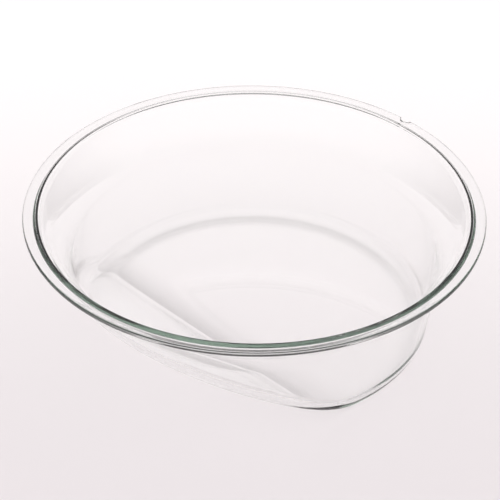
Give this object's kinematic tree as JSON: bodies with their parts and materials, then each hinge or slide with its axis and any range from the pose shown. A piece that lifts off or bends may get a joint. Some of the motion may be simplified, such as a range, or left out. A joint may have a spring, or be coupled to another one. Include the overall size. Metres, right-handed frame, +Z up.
{
  "type": "washing machine door glass",
  "caption": "Clear pressed glass door bowl of a front-loading washing machine: a flat round clamping flange with a locating notch, a tapering wall, a flat floor and a slanted chute face.",
  "frame": {"origin": "on the flange's axis, at the level of the floor's underside, so the part stands on Z = 0 as it does on a bench", "axes": "+Z is up through the mouth, along the flange's axis; +Y points at the locating notch; -Y points at the chute face; +X completes the right-handed frame. The part is mirror-symmetric about X = 0"},
  "size_m": [0.37, 0.3699, 0.1115],
  "materials": {
    "door_glass": "clear, fire-polished, faintly green at the edges"
  },
  "bodies": {
    "root": {"door_glass": "door_glass"}
  },
  "joints": []
}
